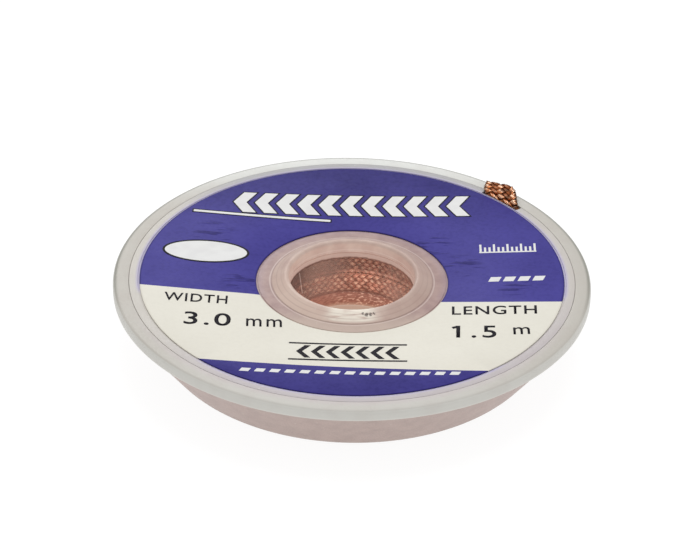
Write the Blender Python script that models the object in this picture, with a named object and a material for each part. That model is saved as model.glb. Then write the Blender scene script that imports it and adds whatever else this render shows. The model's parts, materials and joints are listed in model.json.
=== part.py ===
"""Desoldering braid in a flat round case: a dish with a flared rim, a lid with a printed
label, and copper braid wound inside, its free end over the rim. Metres, +Z up, lying flat."""

import math

import bmesh
import bpy
import numpy as np
from mathutils import Vector

MM = 0.001
CASE_STEPS = 72               # facets round the case and the label
COIL_STEPS = 48               # facets round the wound braid

# Clearances
SEAT_GAP = 0.15 * MM          # between a piece and the face that it sits on
SLEEVE_GAP = 0.10 * MM        # between the two hub sleeves
LABEL_GAP = 0.03 * MM         # label above the lid's face
LID_EDGE_GAP = 0.18 * MM      # between the lid's edge and the rim
COIL_GAP = 0.45 * MM          # between the coil and the flank

# Braid: 3 mm wide, wound in two courses, one on the other
COURSE_HEIGHT = 2.88 * MM     # width of the braid as wound
BRAID_THICKNESS = 0.45 * MM
TURNS = 8                     # in each course
TURN_GROOVE = 0.35 * MM       # depth of the groove between two turns

# Dish: floor, sloping flank and flared rim
RIM_RADIUS = 26.0 * MM
RIM_DEPTH = 1.22 * MM         # height of the rim's upright side
RIM_EDGE = 0.40 * MM          # radius of the rim's upper edge
RIM_FOOT_CHAMFER = 0.10 * MM
RIM_OVERHANG = 0.40 * MM      # rim beyond the top of the flank
RIM_BAND = 1.72 * MM          # width of the rim's top
LEDGE_WIDTH = 0.85 * MM       # what the lid's edge sits on
BASE_RADIUS = 21.85 * MM
BASE_EDGE = 3.05 * MM         # radius of the rounded bottom edge
DISH_WALL = 0.70 * MM         # floor and flank

# Hub: the dish's sleeve stands inside the lid's sleeve
BORE_RADIUS = 6.83 * MM
SLEEVE_WALL = 0.50 * MM

# Lid: dished disc with a low bead round the bore
PLATE_WALL = 0.75 * MM
LID_EDGE = 0.15 * MM          # radius of the lid's upper edge
LID_CHAMFER = 0.20 * MM
LID_DISH = 0.72 * MM          # drop of the label's bed from its outer to its inner edge
BEAD_WIDTH = 1.94 * MM        # from the bore to the bead's foot
BEAD_RISE = 0.82 * MM         # bead's crest above the flat ring round it
BEAD_LIP = 0.38 * MM          # radius of the bead's edge over the bore
BEAD_LAND = 0.14 * MM         # flat crest between that edge and the outer slope
BEAD_STEP = 0.04 * MM         # upright foot of the outer slope
HUB_RING_WIDTH = 1.50 * MM    # flat ring between the bead and the label's bed
HUB_RING_STEP = 0.07 * MM     # flat ring above the label's bed

# Label
LABEL_THICKNESS = 0.10 * MM
LABEL_MARGIN = 0.99 * MM      # plain lid outside the label
LABEL_BORDER = 0.20 * MM      # bed beyond each edge of the label
LABEL_RECESS = 0.10 * MM      # bed below the lid's edge

# The free end's way out: a slot through the dish's ledge and a notch in the lid's edge
SLOT_SIDE = 0.9               # degrees beside each edge of the braid
SLOT_WALL = 0.08 * MM         # between the slot and the rim's inner side
SLOT_DEPTH = 2.25 * MM        # below the rim's top
SLOT_REACH = 1.45 * MM        # inwards from the rim's inner side
SLOT_FLAT = 0.77 * MM         # flat part of the slot's floor
SLOT_RISE = 0.52 * MM         # rise of the rest of its floor
NOTCH_DEPTH = 0.74 * MM       # into the lid's edge

# Heights and radii that follow
COIL_FOOT = DISH_WALL + SEAT_GAP
COIL_MIDDLE = COIL_FOOT + COURSE_HEIGHT
COIL_TOP = COIL_MIDDLE + COURSE_HEIGHT
PLATE_UNDER_HUB = COIL_TOP + SEAT_GAP
BED_INNER_Z = PLATE_UNDER_HUB + PLATE_WALL
BED_OUTER_Z = BED_INNER_Z + LID_DISH
RIM_TOP = BED_OUTER_Z + LABEL_RECESS
PLATE_UNDER_EDGE = BED_OUTER_Z - PLATE_WALL
LEDGE_Z = PLATE_UNDER_EDGE - SEAT_GAP
RIM_FOOT = RIM_TOP - RIM_DEPTH
SEAT_RADIUS = RIM_RADIUS - RIM_BAND
LID_RADIUS = SEAT_RADIUS - LID_EDGE_GAP
LABEL_OUTER = LID_RADIUS - LABEL_MARGIN
BED_OUTER = LABEL_OUTER + LABEL_BORDER
BED_INNER = BORE_RADIUS + BEAD_WIDTH + HUB_RING_WIDTH
LABEL_INNER = BED_INNER + LABEL_BORDER
DISH_SLEEVE = BORE_RADIUS + SLEEVE_WALL
LID_SLEEVE = DISH_SLEEVE + SLEEVE_GAP + SLEEVE_WALL
FLANK_TOP_RADIUS = RIM_RADIUS - RIM_OVERHANG
EDGE_CENTRE = (BASE_RADIUS - BASE_EDGE, BASE_EDGE)


def clear_scene():
    """Removes what the startup scene holds."""
    for obj in list(bpy.data.objects):
        bpy.data.objects.remove(obj, do_unlink=True)


def finish(name, colour, roughness, metallic=0.0):
    """Material with a colour, a roughness and a metallic value."""
    material = bpy.data.materials.new(name)
    material.use_nodes = True
    shader = material.node_tree.nodes["Principled BSDF"]
    shader.inputs["Base Color"].default_value = (*colour, 1.0)
    shader.inputs["Roughness"].default_value = roughness
    shader.inputs["Metallic"].default_value = metallic
    return material


def arc(centre, radius, start, end, steps):
    """Points of an arc in the (radius, height) plane, angles in degrees."""
    angles = np.radians(np.linspace(start, end, steps + 1))
    return [(centre[0] + radius * math.cos(a), centre[1] + radius * math.sin(a)) for a in angles]


def add_object(shape, name, material):
    """Object of a finished bmesh, shaded smooth with its sharp edges kept."""
    bmesh.ops.recalc_face_normals(shape, faces=shape.faces)
    mesh = bpy.data.meshes.new(name)
    shape.to_mesh(mesh)
    shape.free()
    mesh.materials.append(material)
    mesh.shade_smooth()
    mesh.set_sharp_from_angle(angle=math.radians(35))
    obj = bpy.data.objects.new(name, mesh)
    bpy.context.scene.collection.objects.link(obj)
    return obj


def turned(name, outline, material, steps):
    """Solid turned right round Z from a closed outline of (radius, height) points."""
    shape = bmesh.new()
    corners = [shape.verts.new((r, 0.0, z)) for r, z in outline]
    edges = [shape.edges.new(pair) for pair in zip(corners, corners[1:] + corners[:1])]
    bmesh.ops.spin(shape, geom=corners + edges, cent=(0, 0, 0), axis=(0, 0, 1),
                   angle=2 * math.pi, steps=steps, use_merge=True)
    return add_object(shape, name, material)


def turned_part_way(name, outline, material, start, end):
    """Solid turned round Z from one angle to another, both in degrees."""
    shape = bmesh.new()
    first = math.radians(start)
    corners = [shape.verts.new((r * math.cos(first), r * math.sin(first), z)) for r, z in outline]
    face = shape.faces.new(corners)
    sweep = end - start
    bmesh.ops.spin(shape, geom=[face], cent=(0, 0, 0), axis=(0, 0, 1),
                   angle=math.radians(sweep), steps=max(3, round(CASE_STEPS * sweep / 360)))
    return add_object(shape, name, material)


def flank_foot_angle():
    """Angle on the rounded bottom edge, in degrees, where the straight flank touches it."""
    run = FLANK_TOP_RADIUS - EDGE_CENTRE[0]
    rise = RIM_FOOT - EDGE_CENTRE[1]
    return math.degrees(math.atan2(rise, run) - math.acos(BASE_EDGE / math.hypot(rise, run)))


def dish_inner_radius(height):
    """Radius of the dish's inner face at a height: an arc at the foot, then the straight flank."""
    lean = math.radians(-flank_foot_angle())
    inner_edge = BASE_EDGE - DISH_WALL
    below_centre = EDGE_CENTRE[1] - height
    if below_centre > inner_edge * math.sin(lean):
        return EDGE_CENTRE[0] + math.sqrt(max(0.0, inner_edge ** 2 - below_centre ** 2))
    outer = FLANK_TOP_RADIUS - (RIM_FOOT - height) * math.tan(lean)
    return outer - DISH_WALL / math.cos(lean)


def dish_outline():
    """Outline of the dish, from the bore's foot outwards and back over the inside."""
    ledge_radius = SEAT_RADIUS - LEDGE_WIDTH
    lean = math.radians(-flank_foot_angle())
    ledge_foot = LEDGE_Z - (dish_inner_radius(LEDGE_Z) - ledge_radius) / math.tan(lean)
    bottom_edge = arc(EDGE_CENTRE, BASE_EDGE, -90, flank_foot_angle(), 6)
    inner_edge = arc(EDGE_CENTRE, BASE_EDGE - DISH_WALL, flank_foot_angle(), -90, 4)
    rim_edge = arc((RIM_RADIUS - RIM_EDGE, RIM_TOP - RIM_EDGE), RIM_EDGE, 0, 90, 4)
    sleeve_top = PLATE_UNDER_HUB + SLEEVE_GAP
    return [
        (BORE_RADIUS, 0.0), *bottom_edge,
        (FLANK_TOP_RADIUS, RIM_FOOT), (RIM_RADIUS - RIM_FOOT_CHAMFER, RIM_FOOT),
        (RIM_RADIUS, RIM_FOOT + RIM_FOOT_CHAMFER), *rim_edge,
        (SEAT_RADIUS, RIM_TOP), (SEAT_RADIUS, LEDGE_Z), (ledge_radius, LEDGE_Z),
        (ledge_radius, ledge_foot), *inner_edge,
        (DISH_SLEEVE, DISH_WALL), (DISH_SLEEVE, sleeve_top), (BORE_RADIUS, sleeve_top),
    ]


def slot_outline():
    """Outline of the cut through the dish's ledge."""
    floor = RIM_TOP - SLOT_DEPTH
    over = RIM_TOP + SLOT_DEPTH
    inner = SEAT_RADIUS - SLOT_REACH
    outer = SEAT_RADIUS - SLOT_WALL
    return [(inner, floor), (inner + SLOT_FLAT, floor), (outer, floor + SLOT_RISE), (outer, over), (inner, over)]


def notch_outline():
    """Outline of the cut in the lid's edge."""
    inner = LID_RADIUS - NOTCH_DEPTH
    outer = LID_RADIUS + NOTCH_DEPTH
    under = PLATE_UNDER_HUB - SLOT_DEPTH
    over = RIM_TOP + SLOT_DEPTH
    return [(inner, under), (outer, under), (outer, over), (inner, over)]


def lid_outline():
    """Outline of the lid, from the bead over the top and back along the underside."""
    ring_top = BED_INNER_Z + HUB_RING_STEP
    bead_outer = BORE_RADIUS + BEAD_WIDTH
    crest = ring_top + BEAD_RISE
    lip = arc((BORE_RADIUS + BEAD_LIP, crest - BEAD_LIP), BEAD_LIP, 180, 90, 5)
    edge = arc((LID_RADIUS - LID_EDGE, RIM_TOP - LID_EDGE), LID_EDGE, 90, 0, 2)
    sleeve_inner = LID_SLEEVE - SLEEVE_WALL
    bead_under = PLATE_UNDER_HUB + SLEEVE_GAP + SEAT_GAP
    return [
        *lip, (BORE_RADIUS + BEAD_LIP + BEAD_LAND, crest), (bead_outer, ring_top + BEAD_STEP),
        (bead_outer, ring_top), (BED_INNER, ring_top), (BED_INNER, BED_INNER_Z),
        (BED_OUTER, BED_OUTER_Z), (BED_OUTER, RIM_TOP), *edge,
        (LID_RADIUS, PLATE_UNDER_EDGE + LID_CHAMFER), (LID_RADIUS - LID_CHAMFER, PLATE_UNDER_EDGE),
        (LID_SLEEVE, PLATE_UNDER_HUB), (LID_SLEEVE, COIL_MIDDLE), (sleeve_inner, COIL_MIDDLE),
        (sleeve_inner, bead_under), (BORE_RADIUS, bead_under),
    ]


def label_outline():
    """Outline of the printed label, a thin cone on the lid's bed."""
    slope = LID_DISH / (BED_OUTER - BED_INNER)
    low = [(r, BED_INNER_Z + LABEL_GAP + slope * (r - BED_INNER)) for r in (LABEL_INNER, LABEL_OUTER)]
    high = [(r, z + LABEL_THICKNESS) for r, z in reversed(low)]
    return low + high


def end_face(inner, outer, height, inwards):
    """Points across one end of a coil: a flat crest for each turn and a groove between turns."""
    pitch = (outer - inner) / TURNS
    points = []
    for turn in range(TURNS):
        start = inner + turn * pitch
        points.append((start + 0.5 * BRAID_THICKNESS, height))
        points.append((start + pitch - 0.5 * BRAID_THICKNESS, height))
        if turn < TURNS - 1:
            points.append((start + pitch, height + inwards * TURN_GROOVE))
    return points


def coil_outline():
    """Outline of the wound braid: two courses, one on the other, each with its turns."""
    lower_inner, upper_inner = DISH_SLEEVE + SEAT_GAP, LID_SLEEVE + SEAT_GAP
    lower_outer = dish_inner_radius(COIL_FOOT) - COIL_GAP
    upper_outer = dish_inner_radius(COIL_MIDDLE) - COIL_GAP
    bottom = end_face(lower_inner, lower_outer, COIL_FOOT, 1)
    top = end_face(upper_inner, upper_outer, COIL_TOP, -1)
    step = COIL_MIDDLE - SEAT_GAP
    return [
        (lower_inner, COIL_FOOT + TURN_GROOVE), *bottom, (lower_outer, COIL_FOOT + TURN_GROOVE),
        (lower_outer, COIL_MIDDLE - TURN_GROOVE), (upper_outer, COIL_MIDDLE + TURN_GROOVE),
        (upper_outer, COIL_TOP - TURN_GROOVE), *reversed(top), (upper_inner, COIL_TOP - TURN_GROOVE),
        (upper_inner, step), (lower_inner, step),
    ]


def tail_stations():
    """Left and right edges of the free end's upper face, from inside the coil outwards.

    Each station holds (radius, degrees, height) for the left edge and for the right edge.
    """
    coil = dish_inner_radius(COIL_MIDDLE) - COIL_GAP
    notch = LID_RADIUS - NOTCH_DEPTH
    on_rim = RIM_TOP + BRAID_THICKNESS
    in_coil = COIL_TOP - 0.7 * MM
    on_coil = COIL_TOP + 0.15 * MM
    under_lid = PLATE_UNDER_EDGE - 0.40 * MM
    return [
        ((coil - 1.7 * MM, 26.0, in_coil), (coil - 0.4 * MM, 19.6, in_coil)),
        ((coil - 1.05 * MM, 34.0, on_coil), (coil + 0.5 * MM, 27.0, on_coil)),
        ((notch - 1.30 * MM, 42.9, under_lid), (notch - 0.50 * MM, 34.3, under_lid)),
        ((notch + 0.05 * MM, 49.6, under_lid + 0.04 * MM), (notch + 0.10 * MM, 37.5, under_lid)),
        ((notch + 0.16 * MM, 50.4, RIM_TOP - 0.65 * MM), (notch + 0.34 * MM, 38.0, RIM_TOP - 0.65 * MM)),
        ((notch + 0.20 * MM, 50.9, RIM_TOP), (notch + 0.42 * MM, 38.5, RIM_TOP)),
        ((notch + 0.50 * MM, 51.6, on_rim - 0.04 * MM), (notch + 0.62 * MM, 39.3, on_rim - 0.04 * MM)),
        ((SEAT_RADIUS + 0.25 * MM, 52.3, on_rim + 0.08 * MM), (SEAT_RADIUS + 0.50 * MM, 41.2, on_rim + 0.12 * MM)),
        ((RIM_RADIUS - 0.95 * MM, 52.8, on_rim + 0.10 * MM), (RIM_RADIUS - 0.30 * MM, 43.8, on_rim + 0.24 * MM)),
        ((RIM_RADIUS - 0.70 * MM, 53.0, on_rim + 0.08 * MM), (RIM_RADIUS + 0.13 * MM, 45.9, on_rim + 0.32 * MM)),
    ]


def tail_point(radius, degrees, height):
    """Point of the free end from its polar place."""
    return Vector((radius * math.cos(math.radians(degrees)), radius * math.sin(math.radians(degrees)), height))


def tail_strip(material):
    """The braid's free end: a flat strip that leaves the coil's top and passes over the rim."""
    left, right = ([tail_point(*place) for place in edge] for edge in zip(*tail_stations()))
    shape = bmesh.new()
    rings = []
    for i, (a, b) in enumerate(zip(left, right)):
        before, after = max(i - 1, 0), min(i + 1, len(left) - 1)
        along = (left[after] + right[after]) - (left[before] + right[before])
        down = (b - a).cross(along).normalized() * BRAID_THICKNESS
        if down.z > 0:
            down.negate()
        rings.append([shape.verts.new(p) for p in (a, b, b + down, a + down)])
    for first, second in zip(rings, rings[1:]):
        for k in range(4):
            shape.faces.new((first[k], first[(k + 1) % 4], second[(k + 1) % 4], second[k]))
    shape.faces.new(rings[0])
    shape.faces.new(rings[-1])
    bmesh.ops.triangulate(shape, faces=shape.faces)
    return add_object(shape, "tail_strip", material)


def boolean(obj, other, operation):
    """Joins an object with a helper, or cuts it, by a modifier that stays on it."""
    other.hide_render = True
    other.display_type = "WIRE"
    modifier = obj.modifiers.new(operation.lower(), "BOOLEAN")
    modifier.operation = operation
    modifier.solver = "EXACT"
    modifier.object = other


def build():
    """Makes the dish, the lid, the label and the braid."""
    clear_scene()
    frosted = finish("frosted_plastic", (0.60, 0.57, 0.52), 0.45)
    printed = finish("printed_label", (0.09, 0.075, 0.29), 0.35)
    copper = finish("copper_braid", (0.55, 0.24, 0.13), 0.35, metallic=1.0)

    dish = turned("case_dish", dish_outline(), frosted, CASE_STEPS)
    lid = turned("case_lid", lid_outline(), frosted, CASE_STEPS)
    way_out = [edge[1] for station in tail_stations()[3:7] for edge in station]
    reach = (min(way_out) - SLOT_SIDE, max(way_out) + SLOT_SIDE)
    boolean(dish, turned_part_way("slot_cutter", slot_outline(), frosted, *reach), "DIFFERENCE")
    boolean(lid, turned_part_way("notch_cutter", notch_outline(), frosted, *reach), "DIFFERENCE")
    turned("label", label_outline(), printed, CASE_STEPS)

    braid = turned("braid", coil_outline(), copper, COIL_STEPS)
    boolean(braid, tail_strip(copper), "UNION")


build()
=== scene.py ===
"""Looks of a desoldering braid in a round case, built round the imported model.

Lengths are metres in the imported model's frame: +Z is up and out of the lid, and -Y is the front.
"""

from __future__ import annotations

import json
import logging
import math
from dataclasses import dataclass
from enum import Enum
from typing import Any, Callable, ClassVar, Iterable, Optional, Sequence, Union

import bpy
from mathutils import Euler, Matrix, Vector

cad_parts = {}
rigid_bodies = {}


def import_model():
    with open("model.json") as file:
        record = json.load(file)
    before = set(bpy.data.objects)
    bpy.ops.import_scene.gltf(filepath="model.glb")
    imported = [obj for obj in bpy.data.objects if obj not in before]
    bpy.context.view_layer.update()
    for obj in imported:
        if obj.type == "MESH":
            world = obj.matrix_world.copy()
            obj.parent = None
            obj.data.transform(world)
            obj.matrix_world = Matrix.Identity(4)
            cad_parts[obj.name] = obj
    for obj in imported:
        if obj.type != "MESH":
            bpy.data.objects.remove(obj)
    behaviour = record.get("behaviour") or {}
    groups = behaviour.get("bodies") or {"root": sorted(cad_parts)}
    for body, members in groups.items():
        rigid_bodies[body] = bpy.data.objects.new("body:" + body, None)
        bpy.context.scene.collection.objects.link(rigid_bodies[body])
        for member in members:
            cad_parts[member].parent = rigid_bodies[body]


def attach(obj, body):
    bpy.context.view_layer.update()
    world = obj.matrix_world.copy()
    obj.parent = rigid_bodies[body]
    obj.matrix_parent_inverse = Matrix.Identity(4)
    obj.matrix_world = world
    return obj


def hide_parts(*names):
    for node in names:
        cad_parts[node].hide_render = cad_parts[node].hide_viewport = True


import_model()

LOG = logging.getLogger("desoldering_braid")
MM = 0.001
Object = bpy.types.Object
Material = bpy.types.Material
Point = tuple[float, float]
Colour = tuple[float, float, float]
Spot = tuple[float, float, float]


def linear(red: int, green: int, blue: int) -> Colour:
    """Turns a display colour of 0 to 255 a channel into the shader's linear one.

    Args:
        red: Red channel.
        green: Green channel.
        blue: Blue channel.

    Returns:
        The linear colour.
    """
    shares = (channel / 255 for channel in (red, green, blue))
    return tuple(s / 12.92 if s <= 0.04045 else ((s + 0.055) / 1.055) ** 2.4 for s in shares)


# Sizes


@dataclass(frozen=True)
class CaseSizes:
    """Sizes of the case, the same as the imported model's."""

    rim_radius: float = 26.0 * MM
    rim_depth: float = 1.22 * MM
    rim_edge: float = 0.40 * MM
    rim_foot_edge: float = 0.10 * MM
    rim_overhang: float = 0.40 * MM
    rim_band: float = 1.72 * MM
    ledge_width: float = 0.85 * MM
    bottom_edge: float = 3.05 * MM
    flat_radius: float = 18.80 * MM
    wall: float = 0.70 * MM
    bore_radius: float = 6.83 * MM
    sleeve_wall: float = 0.50 * MM
    sleeve_gap: float = 0.10 * MM
    seat_gap: float = 0.15 * MM
    course_height: float = 2.88 * MM
    plate_wall: float = 0.75 * MM
    lid_dish: float = 0.72 * MM
    lid_gap: float = 0.18 * MM
    bead_width: float = 1.94 * MM
    bead_rise: float = 0.82 * MM
    bead_lip: float = 0.38 * MM
    bead_land: float = 0.14 * MM
    bead_step: float = 0.04 * MM
    hub_ring_width: float = 1.50 * MM
    hub_ring_step: float = 0.07 * MM
    label_margin: float = 0.99 * MM
    label_border: float = 0.20 * MM
    label_recess: float = 0.10 * MM
    label_gap: float = 0.03 * MM
    label_thickness: float = 0.10 * MM
    way_out_start: float = math.radians(38.0)
    way_out_sweep: float = math.radians(13.15)
    notch_depth: float = 0.74 * MM

    @property
    def coil_foot(self) -> float:
        """Height of the lower course's foot."""
        return self.wall + self.seat_gap

    @property
    def coil_middle(self) -> float:
        """Height where the two courses meet."""
        return self.coil_foot + self.course_height

    @property
    def coil_top(self) -> float:
        """Height of the upper course's top."""
        return self.coil_middle + self.course_height

    @property
    def plate_under_hub(self) -> float:
        """Height of the lid's underside at the hub."""
        return self.coil_top + self.seat_gap

    @property
    def bed_inner_z(self) -> float:
        """Height of the label's bed at its inner edge."""
        return self.plate_under_hub + self.plate_wall

    @property
    def bed_outer_z(self) -> float:
        """Height of the label's bed at its outer edge."""
        return self.bed_inner_z + self.lid_dish

    @property
    def rim_top(self) -> float:
        """Height of the rim's top."""
        return self.bed_outer_z + self.label_recess

    @property
    def rim_foot(self) -> float:
        """Height of the rim's underside."""
        return self.rim_top - self.rim_depth

    @property
    def seat_radius(self) -> float:
        """Radius of the rim's inner side."""
        return self.rim_radius - self.rim_band

    @property
    def lid_radius(self) -> float:
        """Radius of the lid."""
        return self.seat_radius - self.lid_gap

    @property
    def label_outer(self) -> float:
        """Radius of the label's outer edge."""
        return self.lid_radius - self.label_margin

    @property
    def bead_foot(self) -> float:
        """Radius of the bead's outer foot."""
        return self.bore_radius + self.bead_width

    @property
    def bed_inner(self) -> float:
        """Radius of the inner edge of the label's bed."""
        return self.bead_foot + self.hub_ring_width

    @property
    def label_inner(self) -> float:
        """Radius of the label's inner edge."""
        return self.bed_inner + self.label_border

    @property
    def dish_sleeve(self) -> float:
        """Outer radius of the dish's hub sleeve."""
        return self.bore_radius + self.sleeve_wall

    @property
    def lid_sleeve(self) -> float:
        """Outer radius of the lid's hub sleeve."""
        return self.dish_sleeve + self.sleeve_gap + self.sleeve_wall

    @property
    def flank_top(self) -> float:
        """Radius of the flank where it meets the rim."""
        return self.rim_radius - self.rim_overhang

    @property
    def flank_lean(self) -> float:
        """Lean of the flank from the upright, so that it touches the rounded bottom edge.

        Returns:
            The lean, in radians.
        """
        run = self.flank_top - self.flat_radius
        rise = self.rim_foot - self.bottom_edge
        return math.acos(self.bottom_edge / math.hypot(rise, run)) - math.atan2(rise, run)

    def flank_radius(self, height: float) -> float:
        """Radius of the straight flank's outer face at a height."""
        return self.flank_top - (self.rim_foot - height) * math.tan(self.flank_lean)

    def flank_inner_radius(self, height: float) -> float:
        """Radius of the straight flank's inner face at a height."""
        return self.flank_radius(height) - self.wall / math.cos(self.flank_lean)

    def label_height(self, radius: float) -> float:
        """Height of the label's upper face at a radius.

        Args:
            radius: Distance from the axis.

        Returns:
            The height.
        """
        bed_outer = self.label_outer + self.label_border
        slope = self.lid_dish / (bed_outer - self.bed_inner)
        inner_height = self.bed_inner_z + self.label_gap + self.label_thickness
        return inner_height + slope * (radius - self.bed_inner)


SIZES = CaseSizes()


# Modelling steps


@dataclass(frozen=True)
class Corner:
    """A corner of a turned outline, with the radius that rounds it."""

    radius: float
    height: float
    rounding: float = 0.0
    steps: int = 4


class Bench:
    """Modelling steps that the pieces share, each done with Blender's own operators."""

    TURN_STEPS = 192
    WELD = 0.001 * MM

    @staticmethod
    def pick(*objects: Object) -> None:
        """Selects only these objects and makes the first one active.

        Args:
            objects: The objects, the main one first.
        """
        for other in bpy.context.view_layer.objects:
            other.select_set(False)
        for obj in objects:
            obj.select_set(True)
        bpy.context.view_layer.objects.active = objects[0] if objects else None

    @staticmethod
    def added(name: str) -> Object:
        """Names the object that an operator has just added.

        Args:
            name: The new object's name.

        Returns:
            The object.
        """
        obj = bpy.context.view_layer.objects.active
        obj.name = name
        obj.data.name = name
        return obj

    @staticmethod
    def linked(name: str, data: Any) -> Object:
        """Makes an object for a curve, camera or light.

        Args:
            name: The new object's name.
            data: What it holds.

        Returns:
            The object.
        """
        obj = bpy.data.objects.new(name, data)
        bpy.context.scene.collection.objects.link(obj)
        return obj

    @staticmethod
    def meshed(obj: Object) -> Object:
        """Turns a curve or text into a mesh.

        Args:
            obj: The object.

        Returns:
            The mesh object.
        """
        Bench.pick(obj)
        bpy.ops.object.convert(target="MESH")
        return bpy.context.view_layer.objects.active

    @staticmethod
    def edit(obj: Object, steps: Callable[[], Any], select: str = "SELECT") -> None:
        """Runs operators on a mesh in edit mode.

        Args:
            obj: The object to edit.
            steps: A function that calls the operators.
            select: What select_all does before them, or an empty text to keep what is selected.
        """
        Bench.pick(obj)
        bpy.ops.object.mode_set(mode="EDIT")
        if select:
            bpy.ops.mesh.select_all(action=select)
        steps()
        bpy.ops.object.mode_set(mode="OBJECT")

    @staticmethod
    def rounded(corners: Sequence[Corner]) -> list[Point]:
        """Points of a closed outline, with its rounded corners as arcs.

        Args:
            corners: The outline's corners in order.

        Returns:
            Its (radius, height) points.
        """
        points: list[Point] = []
        for i, corner in enumerate(corners):
            here = Vector((corner.radius, corner.height))
            if not corner.rounding:
                points.append(tuple(here))
                continue
            beside = (corners[i - 1], corners[(i + 1) % len(corners)])
            back, ahead = ((Vector((c.radius, c.height)) - here).normalized() for c in beside)
            half = math.acos(max(-1.0, min(1.0, back.dot(ahead)))) / 2
            centre = here + (back + ahead).normalized() * (corner.rounding / math.sin(half))
            first = here + back * (corner.rounding / math.tan(half)) - centre
            sweep = math.pi - 2 * half
            turn = 1.0 if back.cross(ahead) < 0 else -1.0
            for k in range(corner.steps + 1):
                angle = turn * sweep * k / corner.steps
                points.append(tuple(centre + Matrix.Rotation(angle, 2) @ first))
        return points

    @staticmethod
    def turned(name: str, corners: Sequence[Corner], sweep: float = 2 * math.pi, start: float = 0.0,
               steps: int = TURN_STEPS) -> Object:
        """Turns a closed outline round Z, all the way or part of it.

        Args:
            name: The new object's name.
            corners: The outline's corners.
            sweep: How far it turns, in radians.
            start: Where it starts, in radians.
            steps: Number of steps round the turn.

        Returns:
            The turned solid.
        """
        points = Bench.rounded(corners)
        fill = "NOTHING" if sweep == 2 * math.pi else "NGON"
        Bench.pick()
        bpy.ops.mesh.primitive_circle_add(vertices=len(points), radius=SIZES.rim_radius, fill_type=fill)
        obj = Bench.added(name)
        for vertex, (radius, height) in zip(obj.data.vertices, points):
            vertex.co = (radius * math.cos(start), radius * math.sin(start), height)

        def spin() -> None:
            """Spins the outline and closes the solid."""
            bpy.ops.mesh.spin(steps=steps, angle=-sweep, center=(0, 0, 0), axis=(0, 0, 1))
            bpy.ops.mesh.select_all(action="SELECT")
            bpy.ops.mesh.remove_doubles(threshold=Bench.WELD)
            bpy.ops.mesh.normals_make_consistent(inside=False)

        Bench.edit(obj, spin)
        return obj

    @staticmethod
    def grid(name: str, columns: int, rows: int, rule: Callable[[Vector], Vector]) -> Object:
        """Makes a flat grid, one unit wide and high, whose vertices are moved by a rule.

        Args:
            name: The new object's name.
            columns: Number of faces along X.
            rows: Number of faces along Y.
            rule: Gives each vertex its new place.

        Returns:
            The grid.
        """
        Bench.pick()
        bpy.ops.mesh.primitive_grid_add(x_subdivisions=columns, y_subdivisions=rows, size=1.0)
        grid = Bench.added(name)
        Bench.reshape(grid, rule)
        return grid

    @staticmethod
    def apply_all(obj: Object) -> None:
        """Applies an object's modifiers in order.

        Args:
            obj: The object.
        """
        Bench.pick(obj)
        for modifier in list(obj.modifiers):
            bpy.ops.object.modifier_apply(modifier=modifier.name)

    @staticmethod
    def cut(obj: Object, cutter: Object) -> None:
        """Cuts a closed solid out of another and removes the cutter.

        Args:
            obj: The object.
            cutter: The solid that is cut out.
        """
        modifier = obj.modifiers.new("cut", "BOOLEAN")
        modifier.operation = "DIFFERENCE"
        modifier.solver = "EXACT"
        modifier.object = cutter
        Bench.apply_all(obj)
        Bench.remove(cutter)

    @staticmethod
    def remove(obj: Object) -> None:
        """Deletes a helper object."""
        Bench.pick(obj)
        bpy.ops.object.delete()

    @staticmethod
    def smooth(obj: Object, degrees: float = 35.0) -> None:
        """Shades a piece smooth and keeps its sharp edges."""
        Bench.pick(obj)
        bpy.ops.object.shade_smooth_by_angle(angle=math.radians(degrees))

    @staticmethod
    def place(obj: Object, x: float, y: float, degrees: float = 0.0) -> None:
        """Moves and turns an object about Z, and puts its place into its mesh.

        Args:
            obj: The object.
            x: How far it moves along X.
            y: How far it moves along Y.
            degrees: How far it turns.
        """
        obj.location = (x, y, 0.0)
        obj.rotation_euler = Euler((0.0, 0.0, math.radians(degrees)))
        Bench.pick(obj)
        bpy.ops.object.transform_apply(location=True, rotation=True, scale=True)

    @staticmethod
    def join(name: str, objects: Sequence[Object]) -> Object:
        """Joins objects into the first one and names it.

        Args:
            name: The new object's name.
            objects: The objects, the main one first.

        Returns:
            The joined object.
        """
        Bench.pick(*objects)
        if len(objects) > 1:
            bpy.ops.object.join()
        return Bench.added(name)

    @staticmethod
    def reshape(obj: Object, rule: Callable[[Vector], Vector]) -> None:
        """Moves every vertex of a mesh by a rule.

        Args:
            obj: The object.
            rule: Gives each vertex its new place.
        """
        for vertex in obj.data.vertices:
            vertex.co = rule(vertex.co)
        obj.data.update()

    @staticmethod
    def dress(obj: Object, *materials: Material) -> None:
        """Gives an object its materials, in slot order."""
        for material in materials:
            obj.data.materials.append(material)


# Shader sums

Operand = Union["Wire", float]
Paint = Union["Wire", Colour]
BLACK: Colour = (0.0, 0.0, 0.0)
WHITE: Colour = (1.0, 1.0, 1.0)


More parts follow.
